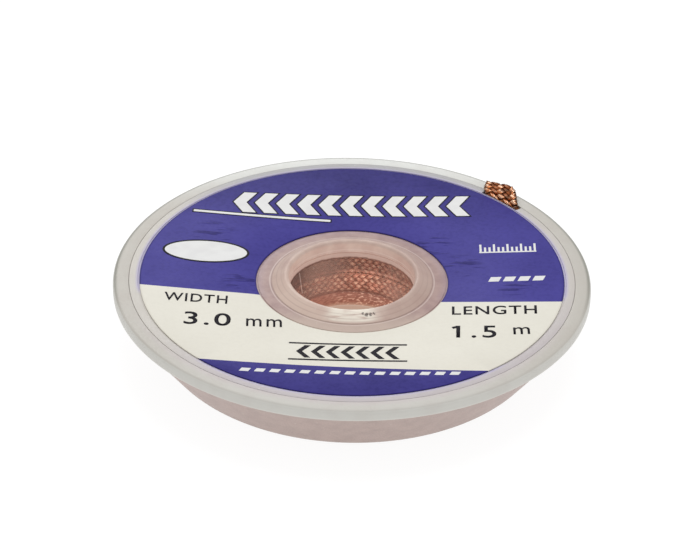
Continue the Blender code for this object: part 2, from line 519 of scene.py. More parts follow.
class Wire:
    """A shader socket on which Python sums add Math nodes."""

    def __init__(self, sheet: NodeSheet, socket: bpy.types.NodeSocket) -> None:
        """Wraps a socket of a node sheet."""
        self.sheet = sheet
        self.socket = socket

    def _sum(self, operation: str, *values: Operand) -> Wire:
        """Adds one Math node."""
        return self.sheet.node("ShaderNodeMath", {"operation": operation}, dict(enumerate(values)))

    def __add__(self, other: Operand) -> Wire:
        """Sum."""
        return self._sum("ADD", self, other)

    def __sub__(self, other: Operand) -> Wire:
        """Difference."""
        return self._sum("SUBTRACT", self, other)

    def __rsub__(self, other: Operand) -> Wire:
        """Difference from a number."""
        return self._sum("SUBTRACT", other, self)

    def __mul__(self, other: Operand) -> Wire:
        """Product."""
        return self._sum("MULTIPLY", self, other)

    def __pow__(self, other: Operand) -> Wire:
        """Power."""
        return self._sum("POWER", self, other)

    __radd__ = __add__
    __rmul__ = __mul__

    def sine(self) -> Wire:
        """Sine of an angle in radians."""
        return self._sum("SINE", self)

    def size(self) -> Wire:
        """Value without its sign."""
        return self._sum("ABSOLUTE", self)

    def highest(self, other: Operand) -> Wire:
        """The larger of two values."""
        return self._sum("MAXIMUM", self, other)

    def lowest(self, other: Operand) -> Wire:
        """The smaller of two values."""
        return self._sum("MINIMUM", self, other)

    def angle_from(self, other: Operand) -> Wire:
        """Angle of the direction whose Y share is this value and whose X share is the other."""
        return self._sum("ARCTAN2", self, other)

    def rise(self, start: float, end: float) -> Wire:
        """Smooth step from 0 at one value to 1 at another.

        Args:
            start: Value where the step starts.
            end: Value where it ends.

        Returns:
            The step, or its opposite where start is above end.
        """
        low, high = sorted((start, end))
        step = self.sheet.node("ShaderNodeMapRange", {"interpolation_type": "SMOOTHSTEP"},
                               {"Value": self, "From Min": low, "From Max": high})
        return step if start < end else 1 - step

    def band(self, centre: float, half_width: float) -> Wire:
        """Soft band: 1 at a value and 0 beyond a distance from it."""
        return (self - centre).size().rise(half_width, 0.0)


class NodeSheet:
    """The node tree of one material, with a short way to add each kind of node.

    Its x, y, z and point are Object coordinates, and radius and angle are taken from the axis.
    """

    WEAVE_SIZE: ClassVar[float] = 1.0 * MM
    WEAVE_LEAN: ClassVar[float] = 2.1

    def __init__(self, name: str) -> None:
        """Starts a material with one Principled shader.

        Args:
            name: The material's name.
        """
        self.material = bpy.data.materials.new(name)
        self.material.use_nodes = True
        self.tree = self.material.node_tree
        self.shader = self.tree.nodes["Principled BSDF"]
        self.point = self.node("ShaderNodeTexCoord", output="Object")
        split = self.node("ShaderNodeSeparateXYZ", values={0: self.point}).socket.node
        self.x, self.y, self.z = (Wire(self, output) for output in split.outputs)
        self.radius = (self.x * self.x + self.y * self.y) ** 0.5
        self.angle = self.y.angle_from(self.x)

    def node(self, kind: str, settings: Optional[dict[str, Any]] = None,
             values: Optional[dict[Union[str, int], Any]] = None, output: Union[str, int] = 0) -> Wire:
        """Adds a node.

        Args:
            kind: The node's type.
            settings: Its properties, which are set first.
            values: Values or links for its inputs, by name or number.
            output: The wanted output, by name or number.

        Returns:
            That output.
        """
        node = self.tree.nodes.new(kind)
        for key, value in (settings or {}).items():
            setattr(node, key, value)
        for key, value in (values or {}).items():
            self.feed(node.inputs[key], value)
        return Wire(self, node.outputs[output])

    def feed(self, socket: bpy.types.NodeSocket, value: Any) -> None:
        """Sets a socket to a value, or links it to a wire.

        Args:
            socket: The input.
            value: A value or a wire.
        """
        if isinstance(value, Wire):
            self.tree.links.new(value.socket, socket)
        elif isinstance(value, tuple) and len(value) == 3 and socket.type == "RGBA":
            socket.default_value = (*value, 1.0)
        else:
            socket.default_value = value

    def set(self, **values: Any) -> None:
        """Sets or links the shader's inputs, with underscores for the spaces in their names."""
        for name, value in values.items():
            self.feed(self.shader.inputs[name.replace("_", " ")], value)

    def noise(self, size: float, detail: float = 3.0, stretch: Spot = (1.0, 1.0, 1.0),
              at: Optional[Wire] = None) -> Wire:
        """Noise of 0 to 1 whose lumps have a size in metres.

        Args:
            size: Size of a lump.
            detail: Octaves of finer noise.
            stretch: Share of the size along X, Y and Z.
            at: Coordinates that take the place of the Object ones.

        Returns:
            The noise's value.
        """
        scale = tuple(1.0 / part for part in stretch)
        mapped = self.node("ShaderNodeMapping", values={"Vector": at or self.point, "Scale": scale})
        values = {"Vector": mapped, "Scale": 1.0 / size, "Detail": detail}
        return self.node("ShaderNodeTexNoise", values=values, output="Fac")

    def weave(self) -> Wire:
        """Crossing waves round the axis, from -1 to 1.

        Returns:
            The waves' value.
        """
        along, lean = self.radius * self.angle, self.z * self.WEAVE_LEAN
        turn = 2 * math.pi / self.WEAVE_SIZE
        return ((along + lean) * turn).sine() * ((along - lean) * turn).sine()

    def spots(self, marks: Iterable[tuple[float, float, float, float]]) -> Wire:
        """Soft round spots: 1 near their centres and 0 outside.

        Args:
            marks: Each spot's centre and its radius.

        Returns:
            One mask for all of them.
        """
        mask: Operand = 0.0
        for *centre, size in marks:
            distance = self.node("ShaderNodeVectorMath", {"operation": "DISTANCE"},
                                 {0: self.point, 1: tuple(centre)}, "Value")
            mask = distance.rise(size, 0.4 * size).highest(mask)
        return mask

    def mix(self, factor: Operand, first: Paint, second: Paint) -> Wire:
        """Colour between two colours."""
        return self.node("ShaderNodeMix", {"data_type": "RGBA"}, {0: factor, 6: first, 7: second}, 2)

    def paint(self, base: Paint, *coats: tuple[Operand, Paint]) -> Paint:
        """Lays coats of colour over a base, each through its own mask.

        Args:
            base: The first colour.
            coats: Each coat's mask and colour.

        Returns:
            The last colour.
        """
        for mask, colour in coats:
            base = self.mix(mask, base, colour)
        return base

    def bump(self, height: Wire, depth: float, strength: float) -> None:
        """Feeds the shader's normal with a bump of a real depth."""
        values = {"Height": height, "Distance": depth, "Strength": strength}
        self.set(Normal=self.node("ShaderNodeBump", values=values))


# Finishes


class CasePart(Enum):
    """The two moulded halves of the case."""

    DISH = "case_dish"
    LID = "case_lid"


@dataclass(frozen=True)
class FrostedPlastic:
    """Milky, slightly see-through moulding: copper tints it from below, and the label beside it."""

    part: CasePart
    plain: Colour = linear(186, 182, 174)
    far_side_lit: Colour = linear(216, 217, 213)
    near_side_lit: Colour = linear(196, 194, 188)
    pinkish: Colour = linear(192, 184, 183)
    rim_face_lit: Colour = linear(208, 207, 201)
    outline: Colour = linear(132, 133, 124)
    copper_lit: Colour = linear(177, 155, 147)
    copper_shade: Colour = linear(156, 135, 128)
    flank_foot_shade: Colour = linear(150, 134, 124)
    dust_and_rim_highlight: Colour = linear(214, 212, 205)
    under_rim_shadow: Colour = linear(150, 134, 127)
    edge_front: Colour = linear(186, 179, 181)
    edge_middle: Colour = linear(194, 189, 183)
    edge_left_lit: Colour = linear(196, 192, 184)
    edge_back_shade: Colour = linear(166, 165, 167)
    lavender: Colour = linear(178, 172, 198)
    ring: Colour = linear(157, 130, 127)
    ring_pale: Colour = linear(173, 147, 141)
    ring_front_lit: Colour = linear(194, 176, 162)
    ring_by_blue: Colour = linear(156, 138, 156)
    bead: Colour = linear(188, 162, 151)
    bead_pale: Colour = linear(200, 178, 166)
    bead_lit: Colour = linear(214, 192, 178)
    bead_right_shade: Colour = linear(176, 150, 140)
    highlight: Colour = linear(238, 230, 216)
    lip_dark_reflection: Colour = linear(128, 112, 98)
    bead_line: Colour = linear(150, 126, 118)
    step_line: Colour = linear(212, 196, 188)
    scratch: Colour = linear(160, 134, 126)
    joint_line: Colour = linear(214, 194, 184)
    speck: Colour = linear(70, 58, 54)
    bore_haze: Colour = linear(172, 138, 124)
    bore_shade: Colour = linear(118, 94, 88)
    bore_shadow: Colour = linear(88, 54, 46)
    mirrored: Colour = linear(164, 111, 94)
    mirrored_gap: Colour = linear(144, 93, 79)
    mirrored_glint: Colour = linear(236, 196, 172)
    mirrored_foot: Colour = linear(206, 176, 154)
    seam_line: Colour = linear(214, 190, 180)
    seam_angle: float = 2.416
    seam_half_width: float = 0.016
    seam_lean: float = 0.0281 / MM
    inner_light: float = 0.41
    speck_height: float = 8.15 * MM
    specks: tuple[Spot, ...] = ((1.25, -7.55, 0.26), (1.62, -7.68, 0.34), (2.05, -7.60, 0.30),
                                (2.40, -7.42, 0.22), (-0.65, -8.15, 0.18), (-7.05, 2.0, 0.12))

    def build(self) -> Material:
        """Makes the material.

        Returns:
            The material.
        """
        sheet = NodeSheet(f"frosted_{self.part.value}")
        colour = self._dish(sheet) if self.part is CasePart.DISH else self._lid(sheet)
        cloud = sheet.noise(2.2 * MM, 4.0).rise(0.35, 0.8)
        dust = sheet.noise(0.35 * MM, 1.0).rise(0.74, 0.80) * sheet.noise(3.0 * MM, 0.0).rise(0.5, 0.62)
        colour = sheet.paint(colour, (cloud * 0.10, self.copper_shade), (dust * 0.5, self.dust_and_rim_highlight))
        # The bore's walls glow with their own colour: painted light that stands for light coming through
        # the milky plastic.
        in_bore = sheet.radius.rise(SIZES.bore_radius + 0.65 * MM, SIZES.bore_radius + 0.25 * MM)
        in_bore = in_bore * sheet.z.rise(SIZES.rim_top + 0.05 * MM, SIZES.rim_top - 0.35 * MM)
        fine = sheet.noise(0.22 * MM, 2.0)
        sheet.set(Base_Color=colour, Alpha=self._alpha(sheet), IOR=1.49, Specular_IOR_Level=0.35,
                  Roughness=0.34 + 0.16 * fine, Emission_Color=sheet.mix(in_bore, BLACK, colour),
                  Emission_Strength=self.inner_light)
        swell = sheet.noise(1.6 * MM, 2.0, (1.0, 1.0, 2.5))
        tool_marks = (sheet.radius * (2 * math.pi / (0.21 * MM))).sine()
        sheet.bump(swell + 0.12 * fine + 0.02 * tool_marks, 0.045 * MM, 0.5)
        return sheet.material

    def _dish(self, sheet: NodeSheet) -> Wire:
        """Colours of the rim, the flank, the bottom edge and the bore's foot.

        Args:
            sheet: The material's node sheet.

        Returns:
            The colour.
        """
        radius, y, z = sheet.radius, sheet.y, sheet.z
        inner = radius.rise(25.2 * MM, 24.5 * MM) * y.rise(-4 * MM, -22 * MM)
        outer = radius.rise(SIZES.rim_radius - 0.58 * MM, SIZES.rim_radius - 0.26 * MM)
        outer = outer * z.rise(SIZES.rim_top - 0.50 * MM, SIZES.rim_top - 0.25 * MM)
        face = radius.rise(SIZES.rim_radius - 0.18 * MM, SIZES.rim_radius - 0.06 * MM)
        # Painted light on the rim: lighter at the far side, where light comes through, at the front and
        # on the outer face. The far rounded edge gets painted shade as a dark edge. The inner band at the
        # front is pinkish.
        rim = sheet.paint(self.plain,
                          (y.rise(12 * MM, 25 * MM), self.far_side_lit),
                          (y.rise(-14 * MM, -25 * MM) * 0.8, self.near_side_lit),
                          (inner * 0.7, self.pinkish),
                          (outer * y.rise(-10 * MM, 0.0) * 0.8, self.outline),
                          (face * 0.8, self.rim_face_lit))
        mottled = sheet.noise(1.5 * MM, 5.0).rise(0.3, 0.75)
        grain = sheet.noise(0.16 * MM, 1.0, (1.0, 1.0, 3.0)).rise(0.45, 0.62)
        copper = mottled * 0.5 + sheet.weave().rise(-0.4, 0.8) * 0.2 + grain * 0.3
        # The flank mottles between two copper tones and is painted darker towards its foot: painted
        # shade.
        flank = sheet.paint(self.copper_lit, (copper, self.copper_shade),
                            (z.rise(1.6 * MM, 0.2 * MM) * 0.6, self.flank_foot_shade))
        foot = SIZES.rim_foot
        # A painted highlight along the rim's foot, and a painted shadow on the flank just under the rim.
        # The pale colour of the highlight is also the colour of the dust specks.
        line = z.band(foot + 0.10 * MM, 0.16 * MM) * radius.rise(25.5 * MM, 25.8 * MM)
        under = z.band(foot - 0.10 * MM, 0.16 * MM) * radius.rise(24.0 * MM, 25.0 * MM)
        in_bore = radius.rise(SIZES.dish_sleeve + 0.30 * MM, SIZES.dish_sleeve + 0.10 * MM)
        return sheet.paint(flank, (z.rise(foot - 0.02 * MM, foot + 0.06 * MM), rim),
                           (line * 0.7, self.dust_and_rim_highlight), (under * 0.45, self.under_rim_shadow),
                           (in_bore, self._bore_wall(sheet)))

    def _bore_wall(self, sheet: NodeSheet) -> Wire:
        """Haze of the bore's wall, its seam, and a painted reflection of the copper at its foot.

        Args:
            sheet: The material's node sheet.

        Returns:
            The colour.
        """
        x, z = sheet.x, sheet.z
        # Painted reflection of the copper at the wall's foot, with painted glints towards the right,
        # paling at the very bottom.
        along = sheet.angle * SIZES.bore_radius
        leaning = sheet.node("ShaderNodeCombineXYZ", values={"X": along + z * 0.9, "Y": z * 1.7})
        strands = sheet.noise(0.42 * MM, 1.0, at=leaning)
        glints = strands.rise(0.55, 0.64) * x.rise(-4 * MM, 2 * MM)
        mirrored = sheet.paint(self.mirrored_gap, (strands.rise(0.32, 0.56), self.mirrored),
                               (glints * 0.8, self.mirrored_glint),
                               (z.rise(0.50 * MM, 0.05 * MM) * 0.6, self.mirrored_foot))
        ragged = z + sheet.noise(0.7 * MM, 2.0) * (0.4 * MM)
        return sheet.paint(self.bore_haze,
                           (x.rise(-4.2 * MM, -6.2 * MM), self.bore_shade),
                           (z.rise(2.05 * MM, 1.60 * MM), mirrored),
                           (self._seam(sheet), self.seam_line),
                           (z.rise(6.36 * MM, 6.50 * MM), self.bead),
                           (ragged.band(6.50 * MM, 0.20 * MM) * 0.75, self.bore_shadow))

    def _seam(self, sheet: NodeSheet) -> Wire:
        """Thin pale moulding seam that runs down the bore's wall.

        Args:
            sheet: The material's node sheet.

        Returns:
            The seam's mask.
        """
        line = (sheet.angle - sheet.z * self.seam_lean).band(self.seam_angle, self.seam_half_width)
        line = line * sheet.radius.rise(7.2 * MM, 7.0 * MM)
        return line * sheet.z.rise(2.9 * MM, 3.4 * MM) * sheet.z.rise(6.4 * MM, 6.1 * MM)

    def _lid(self, sheet: NodeSheet) -> Wire:
        """Colours of the lid's edge, the hub's ring, and the bead with its specks.

        Args:
            sheet: The material's node sheet.

        Returns:
            The colour.
        """
        beside = sheet.radius.rise(SIZES.label_outer + 0.60 * MM, SIZES.label_outer + 0.15 * MM)
        by_blue = sheet.y.rise(-5.0 * MM, -3.0 * MM).highest(sheet.y.rise(-16.5 * MM, -18.0 * MM))
        # The lid's edge: painted light on the left and painted shade at the back. It is pinkish at the
        # front and lavender beside the blue fields.
        edge = sheet.paint(self.edge_front,
                           (sheet.y.rise(-20 * MM, 4 * MM), self.edge_middle),
                           (sheet.x.rise(-12 * MM, -22 * MM) * 0.9, self.edge_left_lit),
                           (sheet.y.rise(10 * MM, 22 * MM), self.edge_back_shade),
                           (beside * by_blue, self.lavender))
        marks = ((x * MM, y * MM, self.speck_height, size * MM) for x, y, size in self.specks)
        specks = sheet.spots(marks) * sheet.noise(0.16 * MM, 2.0).rise(0.40, 0.52)
        on_edge = sheet.radius.rise(15 * MM, 16 * MM)
        return sheet.paint(self._hub(sheet), (on_edge, edge), (specks * 0.9, self.speck))

    def _hub(self, sheet: NodeSheet) -> Wire:
        """Colours of the bead and of the flat ring round it, with painted light and shade, and the fine
        lines between them.

        Args:
            sheet: The material's node sheet.

        Returns:
            The colour.
        """
        radius, x, y = sheet.radius, sheet.x, sheet.y
        by_blue = radius.rise(9.4 * MM, 10.3 * MM) * y.rise(-4.5 * MM, -2.5 * MM)
        # The ring's tone varies at random. Painted light makes it lighter at the front, and beside the
        # blue field it takes a lavender tint.
        ring = sheet.paint(self.ring, (sheet.noise(1.2 * MM, 4.0).rise(0.3, 0.7), self.ring_pale),
                           (y.rise(-5 * MM, -9 * MM) * 0.7, self.ring_front_lit),
                           (by_blue * 0.28, self.ring_by_blue))
        # Painted light and shade on the bead: lit at the front left and shaded at the right, with a
        # painted highlight on its front slope and a painted dark reflection along its front lip.
        lit = x.rise(4 * MM, -7 * MM) * y.rise(3 * MM, -6 * MM)
        front, wide, narrow = (math.radians(degrees) for degrees in (-90.0, 32.0, 26.0))
        glint = sheet.noise(0.8 * MM, 2.0, (3.0, 0.6, 1.0)).rise(0.25, 0.5)
        glint = glint * radius.rise(6.9 * MM, 7.2 * MM) * radius.rise(8.75 * MM, 8.35 * MM)
        glint = glint * sheet.angle.band(front, wide).rise(0.1, 0.7)
        lip = radius.band(7.07 * MM, 0.10 * MM) * sheet.angle.band(front, narrow).rise(0.0, 0.6)
        bead = sheet.paint(self.bead, (sheet.noise(1.5 * MM, 3.0).rise(0.3, 0.7), self.bead_pale),
                           (lit * 0.7, self.bead_lit), (x.rise(2 * MM, 7 * MM) * 0.6, self.bead_right_shade),
                           (glint * 0.9, self.highlight), (lip * 0.8, self.lip_dark_reflection))
        foot = SIZES.bead_foot
        joint = radius.rise(6.98 * MM, 6.86 * MM) * sheet.z.band(7.35 * MM, 0.10 * MM)
        return sheet.paint(bead, (radius.rise(foot - 0.02 * MM, foot + 0.05 * MM), ring),
                           (radius.band(foot, 0.10 * MM) * 0.5, self.bead_line),
                           (radius.band(foot + 0.20 * MM, 0.12 * MM) * 0.6, self.step_line),
                           (radius.band(8.25 * MM, 0.10 * MM) * 0.35, self.scratch),
                           (radius.band(7.75 * MM, 0.10 * MM) * 0.25, self.scratch),
                           (joint * 0.5, self.joint_line))

    def _alpha(self, sheet: NodeSheet) -> Wire:
        """Share that hides what lies behind: low on the hub's sleeves, full elsewhere.

        Args:
            sheet: The material's node sheet.

        Returns:
            The share, from 0 to 1.
        """
        x, z = sheet.x, sheet.z
        left = x.rise(0.8 * MM, -3.6 * MM) * 0.29
        right = x.rise(2.0 * MM, 5.4 * MM) * (0.12 + 0.20 * z.rise(4.2 * MM, 3.6 * MM))
        haze = 0.05 + left.highest(right) + sheet.noise(1.4 * MM, 3.0).rise(0.3, 0.8) * 0.06
        sleeve = SIZES.lid_sleeve if self.part is CasePart.LID else SIZES.dish_sleeve
        clear = sheet.radius.rise(sleeve + 0.3 * MM, sleeve + 0.1 * MM)
        if self.part is CasePart.LID:
            clear = clear * z.rise(SIZES.plate_under_hub, SIZES.plate_under_hub - 0.4 * MM)
            return 1 - clear * (1 - haze * 0.8)
        for mask in (self._seam(sheet) * 0.7, z.rise(6.15 * MM, 6.40 * MM), z.rise(2.05 * MM, 1.55 * MM)):
            haze = haze.highest(mask)
        return 1 - clear * (1 - haze)


@dataclass(frozen=True)
class PrintedFilm:
    """Satin printed film of one colour, slightly creased where the hub pulls it."""

    name: str
    colour: Colour
    deep: Colour
    roughness: float = 0.38
    creases: tuple[Spot, ...] = (
        (8.9, 7.4, 2.9), (12.0, 3.0, 3.0), (-12.0, -1.0, 2.6), (-15.5, 8.9, 3.0), (17.5, -1.2, 2.4))

    def build(self) -> Material:
        """Makes the material.

        Returns:
            The material.
        """
        sheet = NodeSheet(self.name)
        marks = ((x * MM, y * MM, SIZES.label_height(math.hypot(x, y) * MM), size * MM)
                 for x, y, size in self.creases)
        crease = sheet.noise(1.2 * MM, 2.5, (2.8, 0.5, 1.0)).rise(0.52, 0.60) * sheet.spots(marks)
        cloud = sheet.noise(6.0 * MM, 3.0).rise(0.3, 0.7)
        grain = sheet.noise(0.45 * MM, 2.0).rise(0.40, 0.70)
        far = sheet.y.rise(9 * MM, 21 * MM)
        front = sheet.y.rise(-13 * MM, -20 * MM)
        edge = sheet.radius.rise(SIZES.label_outer - 0.30 * MM, SIZES.label_outer - 0.02 * MM)
        edge = edge.highest(sheet.radius.rise(SIZES.label_inner + 0.25 * MM, SIZES.label_inner))
        # Painted shade: the film is darker in its creases and towards the far and the front side. Cloud
        # and grain vary its tone at random, and it darkens along its inner and outer edges.
        depth = cloud * 0.22 + grain * 0.16 + crease * 0.65 + far * 0.55 + front * 0.40
        depth = depth.lowest(1.0).highest(edge * 0.8)
        sheet.set(Base_Color=sheet.mix(depth, self.colour, self.deep), Specular_IOR_Level=0.06,
                  Roughness=self.roughness + 0.12 * sheet.noise(0.5 * MM, 2.0))
        sheet.bump(sheet.noise(1.8 * MM, 2.0) * 0.5 + crease * 1.5, 0.03 * MM, 0.6)
        return sheet.material


@dataclass(frozen=True)
class Ink:
    """Ink on the film, a little uneven."""

    name: str
    colour: Colour
    thin: Colour

    def build(self) -> Material:
        """Makes the material.

        Returns:
            The material.
        """
        sheet = NodeSheet(self.name)
        uneven = sheet.noise(1.4 * MM, 2.0).rise(0.30, 0.75)
        sheet.set(Base_Color=sheet.mix(uneven * 0.4, self.colour, self.thin), Specular_IOR_Level=0.06,
                  Roughness=0.42 + 0.1 * uneven)
        return sheet.material


class Pattern(Enum):
    """What a copper finish shows on its surface."""

    PLAITED = "plaited"
    WOVEN = "woven"


@dataclass(frozen=True)
class CopperWire:
    """Bright drawn copper: a painted highlight on the crests of the plait, painted shade in the gaps, and
    duller lengths.
    """

    name: str
    pattern: Pattern = Pattern.PLAITED
    shine: Colour = linear(252, 220, 190)
    bright: Colour = linear(216, 142, 94)
    mid: Colour = linear(168, 99, 58)
    dull: Colour = linear(64, 32, 16)
    glow: float = 0.0
    edge_shade: float = 0.80

    def build(self) -> Material:
        """Makes the material.

        Returns:
            The material.
        """
        sheet = NodeSheet(self.name)
        patch = sheet.noise(0.8 * MM, 3.0).rise(0.34, 0.66)
        dark = sheet.noise(0.7 * MM, 2.5).rise(0.50, 0.66) * 0.62
        if self.pattern is Pattern.PLAITED:
            lift, edge = (sheet.node("ShaderNodeAttribute", {"attribute_name": name}, output="Fac")
                          for name in (Plait.LIFT, Plait.EDGE))
            # Painted shade along the plait's side edges and its cut end.
            dark = dark.highest(edge * self.edge_shade)
        else:
            lift = sheet.weave().size() * 1.3
        # The colour runs from dark in the gaps to bright on the crests, by how far each point stands out:
        # painted shade and painted highlight.
        crest = lift.rise(0.90, 1.20) * sheet.noise(0.45 * MM, 1.0).rise(0.42, 0.54)
        colour = sheet.paint(self.dull, (lift.rise(0.10, 0.85), self.mid),
                             (lift.rise(0.70, 1.20) * (0.25 + 0.75 * patch), self.bright),
                             (crest * 0.9, self.shine), (dark, self.dull))
        # Painted light: the turns seen through the plastic glow with their own colour.
        if self.glow:
            colour, light = self._behind_plastic(sheet, colour)
            sheet.set(Emission_Color=light, Emission_Strength=self.glow)
        sheet.set(Base_Color=colour, Metallic=0.90, Roughness=0.26 + 0.20 * patch)
        sheet.bump(sheet.noise(0.05 * MM, 1.0) * 0.4 + lift * 2.0, 0.02 * MM, 0.7)
        return sheet.material

    def _behind_plastic(self, sheet: NodeSheet, colour: Wire) -> tuple[Wire, Wire]:
        """Paints light on the turns that show through the bore's wall, as a glow: more at the right and
        in the lower course.

        Args:
            sheet: The material's node sheet.
            colour: The copper's colour.

        Returns:
            The colour with a painted highlight on the ledge where the courses meet, and the painted light
            that it gives off.
        """
        ledge = sheet.z.band(SIZES.coil_middle, 0.36 * MM)
        ledge = ledge * (0.4 + 0.6 * sheet.noise(0.4 * MM, 1.0).rise(0.4, 0.6))
        colour = sheet.mix(ledge * 0.8, colour, self.bright)
        to_right = 0.48 + 0.62 * sheet.x.rise(-6 * MM, 4 * MM)
        lower = 0.43 + 0.65 * sheet.z.rise(4.1 * MM, 3.4 * MM)
        uneven = 0.70 + 0.8 * sheet.noise(1.3 * MM, 2.0).rise(0.35, 0.65)
        return colour, sheet.mix(to_right * lower * uneven, BLACK, colour)


# Case


@dataclass
class Dish:
    """Dish of the case: floor, flank, rim with its ledge and exit slot, and the inner hub sleeve."""

    sizes: CaseSizes = SIZES
    slot_wall: float = 0.08 * MM
    slot_depth: float = 2.25 * MM
    slot_reach: float = 1.45 * MM
    slot_flat: float = 0.77 * MM
    slot_rise: float = 0.52 * MM

    def outline(self) -> list[Corner]:
        """Corners of the dish, from the bore's foot outwards and back over the inside.

        Returns:
            The corners, in order.
        """
        s = self.sizes
        ledge_z = s.bed_outer_z - s.plate_wall - s.seat_gap
        ledge_radius = s.seat_radius - s.ledge_width
        ledge_foot = ledge_z - (s.flank_inner_radius(ledge_z) - ledge_radius) / math.tan(s.flank_lean)
        sleeve_top = s.plate_under_hub + s.sleeve_gap
        return [
            Corner(s.bore_radius, 0.0, 0.12 * MM),
            Corner(s.flank_radius(0.0), 0.0, s.bottom_edge, 14),
            Corner(s.flank_top, s.rim_foot, 0.12 * MM),
            Corner(s.rim_radius, s.rim_foot, s.rim_foot_edge),
            Corner(s.rim_radius, s.rim_top, s.rim_edge, 8),
            Corner(s.seat_radius, s.rim_top, 0.05 * MM),
            Corner(s.seat_radius, ledge_z, 0.04 * MM),
            Corner(ledge_radius, ledge_z, 0.08 * MM),
            Corner(ledge_radius, ledge_foot, 0.15 * MM),
            Corner(s.flank_inner_radius(s.wall), s.wall, s.bottom_edge - s.wall, 10),
            Corner(s.dish_sleeve, s.wall, 0.15 * MM),
            Corner(s.dish_sleeve, sleeve_top, 0.10 * MM),
            Corner(s.bore_radius, sleeve_top, 0.10 * MM),
        ]

    def slot_cutter(self) -> Object:
        """Solid that cuts the slot for the braid's free end.

        Returns:
            The cutter.
        """
        s = self.sizes
        floor = s.rim_top - self.slot_depth
        over = s.rim_top + self.slot_depth
        inner = s.seat_radius - self.slot_reach
        outer = s.seat_radius - self.slot_wall
        corners = [Corner(inner, floor), Corner(inner + self.slot_flat, floor),
                   Corner(outer, floor + self.slot_rise), Corner(outer, over), Corner(inner, over)]
        return Bench.turned("slot_cutter", corners, s.way_out_sweep, s.way_out_start, 12)

    def build(self, plastic: Material) -> Object:
        """Makes the dish.

        Args:
            plastic: Its material.

        Returns:
            The finished piece.
        """
        dish = Bench.turned("dish_moulding", self.outline())
        Bench.cut(dish, self.slot_cutter())
        Bench.smooth(dish)
        Bench.dress(dish, plastic)
        return dish


@dataclass
class Lid:
    """Lid of the case: dished disc, low bead round the bore, outer hub sleeve and a notch in its edge."""

    sizes: CaseSizes = SIZES
    edge_radius: float = SIZES.seat_radius - 0.03 * MM

    def outline(self) -> list[Corner]:
        """Corners of the lid, from the bead over the top and back along the underside.

        Returns:
            The corners, in order.
        """
        s = self.sizes
        ring_top = s.bed_inner_z + s.hub_ring_step
        crest = ring_top + s.bead_rise
        bed_outer = s.label_outer + s.label_border
        sleeve_inner = s.lid_sleeve - s.sleeve_wall
        bead_under = s.plate_under_hub + s.sleeve_gap + s.seat_gap
        return [
            Corner(s.bore_radius, bead_under, 0.05 * MM),
            Corner(s.bore_radius, crest, s.bead_lip, 8),
            Corner(s.bore_radius + s.bead_lip + s.bead_land, crest, 0.50 * MM, 6),
            Corner(s.bead_foot, ring_top + s.bead_step, 0.04 * MM),
            Corner(s.bead_foot, ring_top, 0.015 * MM, 2),
            Corner(s.bed_inner, ring_top, 0.04 * MM),
            Corner(s.bed_inner, s.bed_inner_z, 0.02 * MM),
            Corner(bed_outer, s.bed_outer_z, 0.03 * MM),
            Corner(bed_outer, s.rim_top, 0.04 * MM),
            Corner(self.edge_radius, s.rim_top, 0.05 * MM),
            Corner(self.edge_radius, s.bed_outer_z - s.plate_wall, 0.20 * MM),
            Corner(s.lid_sleeve, s.plate_under_hub, 0.20 * MM),
            Corner(s.lid_sleeve, s.coil_middle, 0.12 * MM),
            Corner(sleeve_inner, s.coil_middle, 0.12 * MM),
            Corner(sleeve_inner, bead_under, 0.04 * MM),
        ]

    def build(self, plastic: Material) -> Object:
        """Makes the lid.

        Args:
            plastic: Its material.

        Returns:
            The finished piece.
        """
        s = self.sizes
        lid = Bench.turned("lid_moulding", self.outline())
        inner, outer = s.lid_radius - s.notch_depth, s.lid_radius + s.notch_depth
        under, over = s.coil_middle, s.rim_top + s.rim_depth
        corners = [Corner(inner, under), Corner(outer, under), Corner(outer, over), Corner(inner, over)]
        Bench.cut(lid, Bench.turned("notch_cutter", corners, s.way_out_sweep, s.way_out_start, 12))
        Bench.smooth(lid)
        Bench.dress(lid, plastic)
        return lid


# Label


@dataclass(frozen=True)
class Lettering:
    """A plain size word or number: its baseline's start, its width and height in mm, and its turn."""

    words: str
    x: float
    y: float
    width: float
    height: float
    degrees: float
    spacing: float
    weight: float

    def build(self) -> Object:
        """Makes the lettering as a flat mesh at its place.

        Returns:
            The letters.
        """
        Bench.pick()
        bpy.ops.object.text_add(location=(0, 0, 0))
        text = Bench.added(f"letters_{self.words.lower().replace('.', '_')}")
        text.data.body = self.words
        text.data.space_character = self.spacing
        text.data.offset = self.weight
        text.data.resolution_u = 6
        letters = Bench.meshed(text)
        places = [vertex.co for vertex in letters.data.vertices]
        left, foot = (min(place[axis] for place in places) for axis in (0, 1))
        wide = max(place.x for place in places) - left
        high = max(place.y for place in places) - foot
        across, up = self.width * MM / wide, self.height * MM / high
        Bench.reshape(letters, lambda p: Vector(((p.x - left) * across, (p.y - foot) * up, 0.0)))
        Bench.edit(letters, lambda: bpy.ops.mesh.remove_doubles(threshold=Bench.WELD))
        Bench.place(letters, self.x * MM, self.y * MM, self.degrees)
        return letters


@dataclass(frozen=True)
class Row:
    """Flat bars in a row, in mm: the first one's middle, the step to the next, and each bar's shape.

    The upper edge of a bar may lean over, and the row's ends may lie higher than its middle, by the
    bend for each bar.
    """

    name: str
    count: int
    x: float
    y: float
    step: float
    length: float
    width: float
    lean: float = 0.0
    degrees: float = 0.0
    parts: int = 1
    bend: float = 0.0

    def build(self) -> list[Object]:
        """Makes the bars at their places.

        Returns:
            The bars.
        """
        bars = []
        for i in range(self.count):
            bar = Bench.grid(f"{self.name}_{i}", self.parts, 1, lambda p: Vector(
                (p.x * self.length + self.lean * (p.y + 0.5), p.y * self.width, 0.0)) * MM)
            rise = self.bend * abs(i - (self.count - 1) / 2)
            Bench.place(bar, (self.x + i * self.step) * MM, (self.y + rise) * MM, self.degrees)
            bars.append(bar)
        return bars


